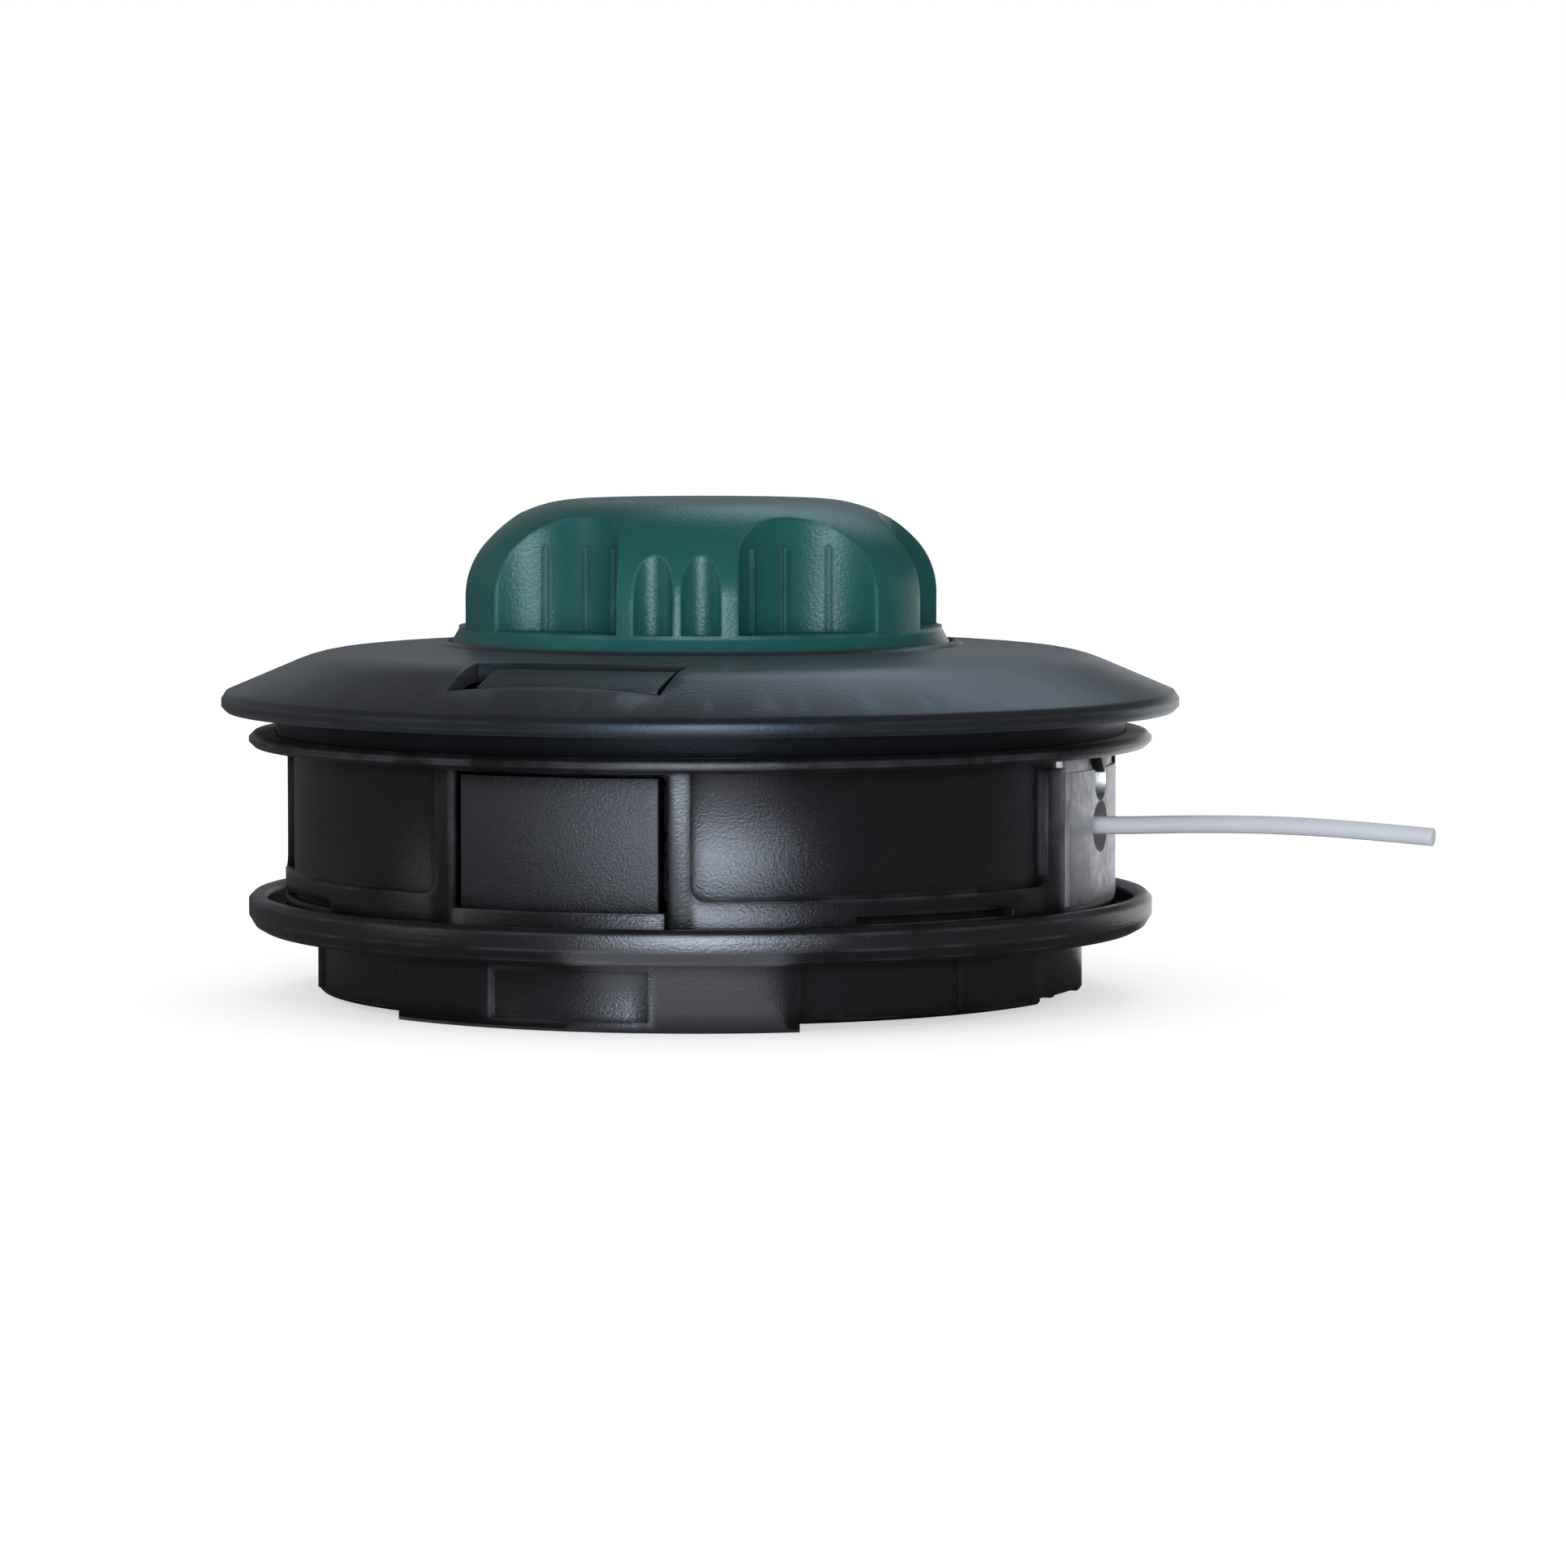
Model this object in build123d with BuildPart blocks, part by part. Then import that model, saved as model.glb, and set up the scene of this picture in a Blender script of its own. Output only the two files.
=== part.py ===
from build123d import *
import math
import os

os.makedirs("parts", exist_ok=True)

# Bump-feed trimmer head, 130 mm across the cover, standing on its machine side with the knob up.
# The line leaves along X, the two latches are on Y. Millimetres and degrees.

# Overall radius, over the cover's rim: the other rings step in from it
cover_radius = 65.0
drum_step = 8.6
ring_step = 3.7
dish_step = 3.6

# Line and fits
line_diameter = 2.4
fit_clearance = 0.2
running_clearance = 0.4
seat_gap = 0.05
cut_margin = 1.0
rim_bevel = 0.7
fine_bevel = 0.4

# Base: skirt on two feet, floor and dish flange
skirt_step = 4.5
skirt_wall = 2.6
skirt_height = 9.3
foot_drop = 1.0
foot_half_angle = 31.7
foot_turn = 1.9
foot_proud = 0.4
notch_half_angle = 10.5
notch_rise = 0.8
badge_half_angle = 12.0
badge_depth = 0.5
badge_margin = 1.4
skirt_rib_angle = 30.0
skirt_rib_width = 1.2
skirt_rib_proud = 0.5
recess_depth = 3.2
floor_thickness = 2.8
floor_rib_count = 8
floor_rib_width = 1.8
floor_rib_inset = 1.0
dish_floor = 1.7
dish_face = 4.8
dish_taper = 1.2
dish_waist = 2.0
dish_rim_width = 2.5
spigot_wall = 1.4
spigot_height = 2.5

# Drive insert with a 10 x 1.25 left-hand thread, and the hub round it
thread_minor_radius = 4.32
insert_radius = 8.0
insert_length = 17.5
insert_hex = 17.0
insert_hex_height = 5.0
insert_inset = 1.0
hub_wall = 3.2
hub_cap = 1.2
boss_wall = 4.0

# Drum wall with panels, windows and ring flange
drum_wall = 3.0
drum_height = 25.0
panel_depth = 1.2
panel_half_angle = 27.5
panel_centre = 44.4
panel_rise = 6.4
panel_corner = 2.0
ring_thickness = 1.9
ring_lip = 0.7
lintel = 0.5
drain_angle = 37.0
drain_half_angle = 12.7
drain_height = 1.0
tooth_width = 4.6
tooth_height = 2.7
tooth_depth = 1.6
post_notch_height = 1.4
window_edge = 0.8

# Cover dome
cover_wall = 2.4
neck_step = 1.2
neck_wall = 2.6
rim_gap = 2.8
rim_thickness = 2.4
cone_width = 13.0
shoulder_blend = 18.0
cone_rise = 5.5
crown_rise = 1.0
collar_wall = 1.3
collar_tip = 0.7
collar_height = 0.5

# Latch: press pad, neck and hook on a barrel foot
pad_half_width = 13.5
pad_thickness = 2.4
pad_side_gap = 0.9
latch_half_width = 12.0
latch_neck = 2.0
latch_neck_inset = 5.4
shoulder_height = 3.3
barrel_radius = 1.5
barrel_half_length = 9.0
pivot_inset = 3.0
pivot_rise = 3.0
pad_foot_gap = 1.0
hook_depth = 2.6
hook_back = 1.8
hook_nose = 2.8
hook_half_width = 12.3
hook_offset = 1.7
pocket_half_width = 14.6
pocket_inset = 11.0
pocket_front_gap = 0.5
ledge_thickness = 2.7
lip_wall = 0.7
lip_height = 4.9
leaf_thickness = 0.4
leaf_half_width = 4.0
leaf_length = 9.0
leaf_bow = 2.6
leaf_rise = 10.0
abutment_wall = 1.4
abutment_height = 15.0

# Eyelet
eyelet_half_width = 11.7
eyelet_flange_half_angle = 15.5
eyelet_flange = 2.4
eyelet_proud = 0.2
eyelet_bevel = 0.8
eyelet_hole_radius = 1.5
eyelet_mouth_radius = 3.5
eyelet_mouth_depth = 1.8
eyelet_groove_width = 5.2
eyelet_groove_depth = 1.5
eyelet_groove_floor = 3.4
eyelet_brow = 1.7
eyelet_brow_depth = 0.6
sill_height = 3.2
line_height = 24.2

# Spool, ratchet lugs and the bump
bump_travel = 5.0
flange_gap = 6.2
flange_thickness = 2.0
divider_thickness = 1.6
rows = 3
row_slack = 0.4
layers = 6
core_wall = 3.5
web_thickness = 3.0
tunnel_radius = 2.0
socket_wall = 3.4
socket_height = 8.0
lug_count = 12
lug_height = 1.8
lug_gap = 0.4
lug_length = 8.0
lug_clear = 3.2
lug_width = 3.4

# Return spring, washer and knob screw
wire_diameter = 1.6
spring_height = 15.0
spring_turns = 4.5
spring_clearance = 2.0
washer_thickness = 1.0
screw_radius = 2.5
screw_length = 20.0
screw_head_radius = 4.6
screw_head_height = 2.6
screw_washer_radius = 7.5
screw_head_gap = 0.5

# Bump knob
knob_radius = 32.8
knob_rise = 19.6
knob_top_radius = 16.0
knob_crown_drop = 12.8
knob_corner_radius = 10.0
knob_wall = 2.4
foot_flare = 1.2
knob_flange = 2.4
knob_flange_thickness = 2.0
knob_hex = 18.0
knob_turn = -76.0
grip_floor_rise = 2.5
scallop_radius = 11.3
scallop_centre = 35.7
scallop_offset = 32.6
flute_radius = 2.8
flute_centre = 33.5
flute_offset = 5.6
grip_rib_width = 0.7
grip_rib_proud = 0.5
grip_rib_height = 11.3
grip_rib_spread = 31.0

# Free end of the line, from the eyelet outwards
tail_blend = 0.45
tail_points = [
    (48.6, 0.0, 24.2),
    (58.4, 0.1, 24.25),
    (68.6, 0.0, 24.75),
    (80.2, -0.2, 24.95),
    (91.6, -0.5, 24.6),
    (102.2, -0.9, 23.9),
]

# Heights worked out from the sizes above
z_floor = recess_depth + floor_thickness
z_dish_floor = skirt_height + dish_floor
z_dish_top = skirt_height + dish_face
z_ring_top = z_dish_floor + drum_height
z_ring_under = z_ring_top - ring_thickness
z_seat = z_ring_top - ring_lip
z_window_top = z_ring_under - lintel
z_panel = z_dish_floor + panel_rise
z_sill = z_dish_floor + sill_height
z_rim_under = z_ring_top + rim_gap
z_rim_top = z_rim_under + rim_thickness
z_shoulder = z_rim_top + cone_rise
z_crown = z_shoulder + crown_rise
z_cover_under = z_crown - cover_wall
z_ledge = z_rim_under + ledge_thickness
z_hub = insert_inset + insert_length + hub_cap
z_spool = z_floor + lug_height + lug_gap + bump_travel
chamber_height = rows * line_diameter + row_slack
spool_height = 2 * flange_thickness + 2 * chamber_height + divider_thickness
z_spool_top = z_spool + spool_height
z_divider = z_spool + flange_thickness + chamber_height
z_washer = z_floor + spring_height
z_step = z_washer + washer_thickness + seat_gap
z_screw = z_hub + bump_travel + screw_head_gap
z_web = z_screw + screw_head_height + washer_thickness
z_web_top = z_web + web_thickness
z_knob_flange = z_cover_under - running_clearance
z_knob_bottom = z_knob_flange - knob_flange_thickness
z_knob_top = z_crown + knob_rise
z_grip_floor = z_crown + grip_floor_rise
z_pivot = z_dish_floor + pivot_rise

# Radii worked out from the sizes above
drum_radius = cover_radius - drum_step
ring_radius = cover_radius - ring_step
dish_radius = cover_radius - dish_step
skirt_radius = drum_radius - skirt_step
skirt_inner = skirt_radius - skirt_wall
drum_inner = drum_radius - drum_wall
neck_radius = drum_radius + neck_step
shoulder_radius = cover_radius - cone_width
latch_neck_radius = drum_radius - latch_neck_inset
pivot_radius = drum_radius - pivot_inset
pocket_inner = drum_radius - pocket_inset
flange_radius = drum_inner - flange_gap
spigot_outer = drum_inner - fit_clearance
spigot_inner = spigot_outer - spigot_wall
hub_radius = insert_radius + seat_gap + hub_wall
spring_radius = hub_radius + spring_clearance + wire_diameter / 2
bore_radius = spring_radius + wire_diameter / 2 + spring_clearance
core_radius = bore_radius + core_wall
upper_bore = hub_radius + 3 * running_clearance
socket_radius = knob_hex / math.sqrt(3) + socket_wall
foot_radius = knob_radius + foot_flare
hole_radius = foot_radius + running_clearance
lug_inner = foot_radius + knob_flange + lug_clear
lug_outer = lug_inner + lug_width
neck_inner = neck_radius - neck_wall
pad_outer = drum_radius - fit_clearance
pad_inner = pad_outer - pad_thickness
window_half_width = pad_half_width + pad_side_gap
neck_outer = latch_neck_radius + latch_neck
ledge_edge = neck_outer + 3 * fit_clearance
hook_tip = ledge_edge + hook_depth
abutment_face = spigot_inner - abutment_wall + fit_clearance
eyelet_outer = drum_radius + eyelet_proud
eyelet_window_half = eyelet_half_width + fit_clearance
cone_slope = cone_rise / cone_width

front = -90
back = 90
right = 0
left = 180


def half_section(*corners):
    """Face of a turned piece. Each corner is (radius, height, bevel)."""
    with BuildSketch() as face:
        with BuildLine():
            Polyline(*[(radius, height) for radius, height, _ in corners], close=True)
        make_face()
        for radius, height, bevel in corners:
            if bevel:
                chamfer(face.vertices().sort_by_distance((radius, height))[0], bevel)
    return face.sketch


def sector(inner, outer, middle, half_angle):
    """Ring sector, centred on the direction middle."""
    start = middle - half_angle
    with BuildSketch() as face:
        with BuildLine():
            far = CenterArc((0, 0), outer, start, 2 * half_angle)
            near = CenterArc((0, 0), inner, start, 2 * half_angle)
            Line(near @ 0, far @ 0)
            Line(near @ 1, far @ 1)
        make_face()
    return face.sketch


def ramp_lug(root, tip):
    """One ratchet lug on +X, square on one flank and sloped on the other."""
    with BuildPart() as lug:
        with BuildSketch(Plane.YZ.offset(lug_inner)):
            with BuildLine():
                Polyline(
                    (-lug_length / 2, root),
                    (lug_length / 2, root),
                    (lug_length / 2, tip),
                    (0, tip),
                    close=True,
                )
            make_face()
        extrude(amount=lug_outer - lug_inner)
    return lug.part


def save(piece, name):
    """Label a finished piece and write it as its own file."""
    piece.part.label = name
    export_step(piece.part, f"parts/{name}.step")


# Base
with BuildPart() as base:
    with BuildSketch(Plane.XZ):
        add(
            half_section(
                (0, recess_depth, 0),
                (skirt_inner, recess_depth, 0),
                (skirt_inner, foot_drop, 0),
                (skirt_radius, foot_drop, fine_bevel),
                (skirt_radius, skirt_height, 0),
                (dish_radius - dish_taper, skirt_height, rim_bevel),
                (dish_radius, skirt_height + dish_waist, 0),
                (dish_radius, z_dish_top, rim_bevel),
                (dish_radius - dish_rim_width, z_dish_top, rim_bevel),
                (dish_radius - dish_rim_width, z_dish_floor, 0),
                (spigot_outer, z_dish_floor, 0),
                (spigot_outer, z_dish_floor + spigot_height, 0),
                (spigot_inner, z_dish_floor + spigot_height, 0),
                (spigot_inner, z_dish_floor, 0),
                (skirt_inner, z_dish_floor, 0),
                (skirt_inner, z_floor, 0),
                (hub_radius, z_floor, 0),
                (hub_radius, z_hub, rim_bevel),
                (0, z_hub, 0),
            )
        )
    revolve(axis=Axis.Z)
    # Feet under the latches, notches under the eyelets
    with BuildSketch():
        for side in (front, back):
            add(sector(skirt_inner, skirt_radius + foot_proud, side + foot_turn, foot_half_angle))
    extrude(amount=skirt_height)
    with BuildSketch(Plane.XY.offset(foot_drop)):
        for side in (right, left):
            add(sector(skirt_inner - cut_margin, skirt_radius + cut_margin, side, notch_half_angle))
    extrude(amount=notch_rise, mode=Mode.SUBTRACT)
    # Bare badge recess on each foot
    badge_face = skirt_radius + foot_proud - badge_depth
    with BuildSketch(Plane.XY.offset(badge_margin)):
        for side in (front, back):
            add(sector(badge_face, badge_face + cut_margin, side, badge_half_angle))
    extrude(amount=skirt_height - 2 * badge_margin, mode=Mode.SUBTRACT)
    # Thin ribs on the skirt
    for angle in (skirt_rib_angle, 180 - skirt_rib_angle, 180 + skirt_rib_angle, -skirt_rib_angle):
        with Locations(Location((0, 0, foot_drop + notch_rise), (0, 0, angle))):
            with Locations((skirt_radius, 0)):
                Box(
                    2 * skirt_rib_proud,
                    skirt_rib_width,
                    skirt_height - foot_drop - notch_rise,
                    align=(Align.CENTER, Align.CENTER, Align.MIN),
                )
    # Hub boss and radial ribs under the floor
    boss_radius = insert_hex / math.sqrt(3) + boss_wall
    with BuildSketch(Plane.XY.offset(floor_rib_inset)):
        Circle(boss_radius)
        with PolarLocations((boss_radius + skirt_inner) / 2, floor_rib_count):
            Rectangle(skirt_inner - boss_radius + skirt_wall / 2, floor_rib_width)
    extrude(amount=z_floor - floor_rib_inset - floor_thickness / 2)
    # Cradle, front lip and spring abutment of each latch
    for side in (0, 180):
        with Locations(Location((0, 0, z_dish_floor), (0, 0, side))):
            with Locations((0, -pivot_radius)):
                Box(
                    2 * (barrel_half_length + running_clearance),
                    2 * (barrel_radius + pad_foot_gap),
                    pivot_rise,
                    align=(Align.CENTER, Align.CENTER, Align.MIN),
                )
            with Locations((0, -abutment_face)):
                Box(
                    2 * barrel_half_length,
                    abutment_wall,
                    abutment_height,
                    align=(Align.CENTER, Align.MIN, Align.MIN),
                )
    with BuildSketch(Plane.XY.offset(z_dish_floor)):
        lip_inner = drum_radius + fit_clearance
        lip_half_angle = math.degrees(math.asin(window_half_width / drum_radius))
        for side in (front, back):
            add(sector(lip_inner, lip_inner + lip_wall, side, lip_half_angle))
    extrude(amount=lip_height)
    for side in (0, 180):
        with Locations(Location((0, 0, z_pivot), (0, 0, side))):
            with Locations(Location((0, -pivot_radius, 0), (0, 90, 0))):
                Cylinder(
                    barrel_radius + seat_gap,
                    2 * (barrel_half_length + running_clearance),
                    mode=Mode.SUBTRACT,
                )
    # Ratchet lugs on the floor, half a pitch away from the spool's
    floor_lug = ramp_lug(z_floor - floor_thickness / 4, z_floor + lug_height)
    with PolarLocations(0, lug_count, start_angle=180 / lug_count):
        add(floor_lug)
    # Seat of the drive insert
    with BuildSketch(Plane.XY.offset(insert_inset)):
        RegularPolygon(insert_hex / 2 + seat_gap, 6, major_radius=False)
    extrude(amount=insert_hex_height + seat_gap, mode=Mode.SUBTRACT)
    with BuildSketch(Plane.XY):
        Circle(insert_radius + seat_gap)
    extrude(amount=insert_inset + insert_length + seat_gap, mode=Mode.SUBTRACT)
save(base, "base")

# Drive insert
with BuildPart() as drive_insert:
    with BuildSketch(Plane.XY.offset(insert_inset)):
        RegularPolygon(insert_hex / 2, 6, major_radius=False)
    extrude(amount=insert_hex_height)
    with BuildSketch(Plane.XY.offset(insert_inset)):
        Circle(insert_radius)
    extrude(amount=insert_length)
    with Locations((0, 0, insert_inset)):
        Cylinder(
            thread_minor_radius,
            insert_length,
            align=(Align.CENTER, Align.CENTER, Align.MIN),
            mode=Mode.SUBTRACT,
        )
    rims = drive_insert.edges().filter_by(GeomType.CIRCLE)
    mouth_edges = rims.filter_by(lambda edge: abs(edge.radius - thread_minor_radius) < seat_gap)
    chamfer(mouth_edges.sort_by(Axis.Z)[0], rim_bevel)
save(drive_insert, "drive_insert")

# Drum
with BuildPart() as drum:
    with BuildSketch(Plane.XZ):
        add(
            half_section(
                (drum_inner, z_dish_floor, 0),
                (drum_radius, z_dish_floor, 0),
                (drum_radius, z_ring_under, 0),
                (ring_radius, z_ring_under, rim_bevel),
                (ring_radius, z_ring_top, rim_bevel),
                (neck_radius + fit_clearance, z_ring_top, 0),
                (neck_radius + fit_clearance, z_seat, 0),
                (drum_inner, z_seat, 0),
            )
        )
    revolve(axis=Axis.Z)
    # Recessed panels between the windows
    with BuildSketch(Plane.XY.offset(z_panel)):
        for side in (panel_centre, 180 - panel_centre, 180 + panel_centre, -panel_centre):
            add(sector(drum_radius - panel_depth, drum_radius + panel_depth, side, panel_half_angle))
    extrude(amount=z_ring_under - z_panel, mode=Mode.SUBTRACT)
    lower_corners = drum.edges().filter_by(
        lambda edge: edge.geom_type == GeomType.LINE
        and abs(edge.length - panel_depth) < seat_gap
        and abs(edge.center().Z - z_panel) < seat_gap
    )
    fillet(lower_corners, panel_corner)
    # Drain slots in the ledge under the panels
    with BuildSketch(Plane.XY.offset(z_dish_top)):
        for side in (drain_angle, 180 - drain_angle, 180 + drain_angle, -drain_angle):
            add(sector(drum_radius - panel_depth, drum_radius + panel_depth, side, drain_half_angle))
    extrude(amount=drain_height, mode=Mode.SUBTRACT)
    # Latch windows, open down to the dish, and eyelet windows
    with BuildSketch(Plane.XY.offset(z_dish_floor)):
        Rectangle(2 * window_half_width, 2 * drum_radius)
    extrude(amount=z_window_top - z_dish_floor, mode=Mode.SUBTRACT)
    window_edges = drum.edges().filter_by(Axis.Z).filter_by(
        lambda edge: abs(abs(edge.center().X) - window_half_width) < seat_gap
        and math.hypot(edge.center().X, edge.center().Y) > drum_radius - seat_gap
    )
    fillet(window_edges, window_edge)
    with BuildSketch(Plane.XY.offset(z_sill)):
        Rectangle(2 * ring_radius, 2 * eyelet_window_half)
    extrude(amount=z_window_top - z_sill, mode=Mode.SUBTRACT)
    # Notch at the top of each post beside the eyelets
    post_start = math.degrees(math.asin(eyelet_window_half / drum_radius))
    post_end = panel_centre - panel_half_angle
    post_middle = (post_start + post_end) / 2
    with BuildSketch(Plane.XY.offset(z_ring_under - post_notch_height)):
        for side in (post_middle, 180 - post_middle, 180 + post_middle, -post_middle):
            add(
                sector(
                    drum_radius - panel_depth,
                    drum_radius + panel_depth,
                    side,
                    post_end - post_middle,
                )
            )
    extrude(amount=post_notch_height, mode=Mode.SUBTRACT)
    # Pointed tooth over each eyelet, in its groove
    tooth_start = eyelet_outer - eyelet_groove_depth + running_clearance
    for plane, way in ((Plane.YZ.offset(tooth_start), 1), (Plane.YZ.offset(-tooth_start), -1)):
        with BuildSketch(plane):
            with BuildLine():
                Polyline(
                    (-tooth_width / 2, z_ring_under + lintel),
                    (tooth_width / 2, z_ring_under + lintel),
                    (tooth_width / 2, z_ring_under),
                    (0, z_ring_under - tooth_height),
                    (-tooth_width / 2, z_ring_under),
                    close=True,
                )
            make_face()
        extrude(amount=way * tooth_depth)
save(drum, "drum")

# Cover
with BuildPart() as cover:
    z_neck_under = z_shoulder - cover_wall - (neck_inner - shoulder_radius) * cone_slope
    with BuildSketch(Plane.XZ) as cover_face:
        add(
            half_section(
                (hole_radius, z_crown + collar_height, 0),
                (hole_radius + collar_tip, z_crown + collar_height, fine_bevel),
                (hole_radius + collar_wall, z_crown, 0),
                (shoulder_radius, z_shoulder, 0),
                (cover_radius, z_rim_top, rim_bevel),
                (cover_radius, z_rim_under, rim_bevel),
                (neck_radius, z_rim_under, 0),
                (neck_radius, z_seat, 0),
                (neck_inner, z_seat, 0),
                (neck_inner, z_neck_under, 0),
                (shoulder_radius, z_shoulder - cover_wall, 0),
                (hole_radius, z_cover_under, 0),
            )
        )
        # Rounded shoulder, the same wall inside
        for depth in (0, cover_wall):
            shoulder = (shoulder_radius, z_shoulder - depth)
            fillet(cover_face.vertices().sort_by_distance(shoulder)[0], shoulder_blend - depth)
    revolve(axis=Axis.Z)
    # Ratchet ring and its lugs
    z_ring_wall = z_spool_top + lug_height + lug_gap
    with BuildSketch(Plane.XY.offset(z_ring_wall)):
        Circle(lug_outer)
        Circle(lug_inner, mode=Mode.SUBTRACT)
    extrude(amount=z_shoulder - cover_wall / 2 - z_ring_wall)
    cover_lug = ramp_lug(z_ring_wall + lug_gap, z_spool_top + lug_gap)
    with PolarLocations(0, lug_count, start_angle=180 / lug_count):
        add(cover_lug)
    # Ledge, pocket and slot for each latch
    ledge_depth = hook_tip + pocket_front_gap - ledge_edge
    for side in (0, 180):
        with Locations(Location((0, 0, 0), (0, 0, side))):
            with Locations((0, -ledge_edge, z_rim_under)):
                Box(
                    2 * (pocket_half_width + cut_margin),
                    ledge_depth + cut_margin,
                    ledge_thickness,
                    align=(Align.CENTER, Align.MAX, Align.MIN),
                )
            with Locations((0, -pocket_inner, z_ledge)):
                Box(
                    2 * pocket_half_width,
                    ledge_edge + ledge_depth - pocket_inner,
                    z_crown - z_ledge,
                    align=(Align.CENTER, Align.MAX, Align.MIN),
                    mode=Mode.SUBTRACT,
                )
            with Locations((0, -pocket_inner, z_seat)):
                Box(
                    2 * (latch_half_width + running_clearance),
                    ledge_edge - pocket_inner,
                    z_crown - z_seat,
                    align=(Align.CENTER, Align.MAX, Align.MIN),
                    mode=Mode.SUBTRACT,
                )
save(cover, "cover")

# Latches
z_pad = z_pivot + pad_foot_gap
z_pad_top = z_window_top - lintel
z_hook = z_ledge + fit_clearance
hook_inner = latch_neck_radius - hook_back
z_hook_inner = z_shoulder - fit_clearance
with BuildPart() as latch_front:
    with BuildSketch(Plane.XY.offset(z_pad)):
        add(sector(pad_inner, pad_outer, front, 2 * lip_half_angle))
        with Locations((0, -pad_inner)):
            Rectangle(2 * pad_half_width, pad_inner, mode=Mode.INTERSECT)
    extrude(amount=z_pad_top - z_pad)
    # Shoulder and neck behind the ring flange
    for outer, top in ((pad_inner + pad_thickness / 4, z_pad_top), (neck_outer, z_hook + hook_nose)):
        with BuildSketch(Plane.XY.offset(z_pad_top - shoulder_height)):
            add(sector(latch_neck_radius, outer, front, 2 * lip_half_angle))
            with Locations((0, -pad_inner)):
                Rectangle(2 * latch_half_width, pad_inner, mode=Mode.INTERSECT)
        extrude(amount=top - z_pad_top + shoulder_height)
    # Hook over the cover's ledge, wider to one side
    with BuildSketch(Plane.YZ.offset(hook_offset)):
        with BuildLine():
            Polyline(
                (-hook_tip, z_hook),
                (-hook_tip, z_hook + hook_nose),
                (-hook_inner, z_hook_inner),
                (-hook_inner, z_hook_inner - hook_back),
                (-latch_neck_radius, z_hook),
                close=True,
            )
        make_face()
    extrude(amount=hook_half_width, both=True)
    with Locations(Location((0, -pivot_radius, z_pivot), (0, 90, 0))):
        Cylinder(barrel_radius, 2 * barrel_half_length)
save(latch_front, "latch_front")

with BuildPart() as latch_back:
    add(latch_front.part, rotation=(0, 0, 180))
save(latch_back, "latch_back")

# Leaf springs behind the press pads
with BuildPart() as latch_spring_front:
    leaf_foot = abutment_face + leaf_thickness / 2 + seat_gap
    z_leaf = z_dish_floor + leaf_rise
    with BuildSketch(Plane.YZ):
        with BuildLine():
            ThreePointArc(
                (-leaf_foot, z_leaf - leaf_length / 2),
                (-leaf_foot - leaf_bow, z_leaf),
                (-leaf_foot, z_leaf + leaf_length / 2),
            )
        trace(line_width=leaf_thickness)
    extrude(amount=leaf_half_width, both=True)
save(latch_spring_front, "latch_spring_front")

with BuildPart() as latch_spring_back:
    add(latch_spring_front.part, rotation=(0, 0, 180))
save(latch_spring_back, "latch_spring_back")

# Eyelets
with BuildPart() as eyelet_right:
    flange_outer = drum_inner - fit_clearance
    with BuildSketch(Plane.XY.offset(z_sill + seat_gap)):
        add(sector(flange_outer - eyelet_flange / 2, eyelet_outer, right, eyelet_flange_half_angle))
        with Locations((drum_inner, 0)):
            Rectangle(drum_inner, 2 * eyelet_half_width, mode=Mode.INTERSECT)
    extrude(amount=z_window_top - z_sill - 2 * seat_gap)
    outer_edges = eyelet_right.edges().filter_by(
        lambda edge: edge.center().X > drum_inner and abs(edge.center().Y) > eyelet_half_width - seat_gap
    )
    chamfer(outer_edges.filter_by(Axis.Z), eyelet_bevel)
    with BuildSketch(Plane.XY.offset(z_dish_floor + spigot_height + fit_clearance)):
        add(sector(flange_outer - eyelet_flange, flange_outer, right, eyelet_flange_half_angle))
    extrude(amount=z_seat - z_dish_floor - spigot_height - 2 * fit_clearance)
    # Set-back brow, upright groove in the face and the flared line hole
    with BuildSketch(Plane.XY.offset(z_window_top - eyelet_brow)):
        add(sector(eyelet_outer - eyelet_brow_depth, ring_radius, right, eyelet_flange_half_angle))
    extrude(amount=eyelet_brow, mode=Mode.SUBTRACT)
    groove_floor = eyelet_outer - eyelet_groove_depth
    with BuildSketch(Plane.YZ.offset(groove_floor)):
        with Locations((0, line_height + eyelet_groove_floor + eyelet_groove_width / 2)):
            Circle(eyelet_groove_width / 2)
            Rectangle(
                eyelet_groove_width,
                z_ring_under - line_height,
                align=(Align.CENTER, Align.MIN),
            )
    extrude(amount=2 * eyelet_groove_depth, mode=Mode.SUBTRACT)
    with BuildSketch(Plane.XZ):
        with BuildLine():
            Polyline(
                (skirt_inner, line_height),
                (skirt_inner, line_height + eyelet_hole_radius),
                (eyelet_outer - eyelet_mouth_depth, line_height + eyelet_hole_radius),
                (eyelet_outer, line_height + eyelet_mouth_radius),
                (ring_radius, line_height + eyelet_mouth_radius),
                (ring_radius, line_height),
                close=True,
            )
        make_face()
    revolve(axis=Axis((0, 0, line_height), (1, 0, 0)), mode=Mode.SUBTRACT)
save(eyelet_right, "eyelet_right")

with BuildPart() as eyelet_left:
    add(eyelet_right.part, rotation=(0, 0, 180))
save(eyelet_left, "eyelet_left")

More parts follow.
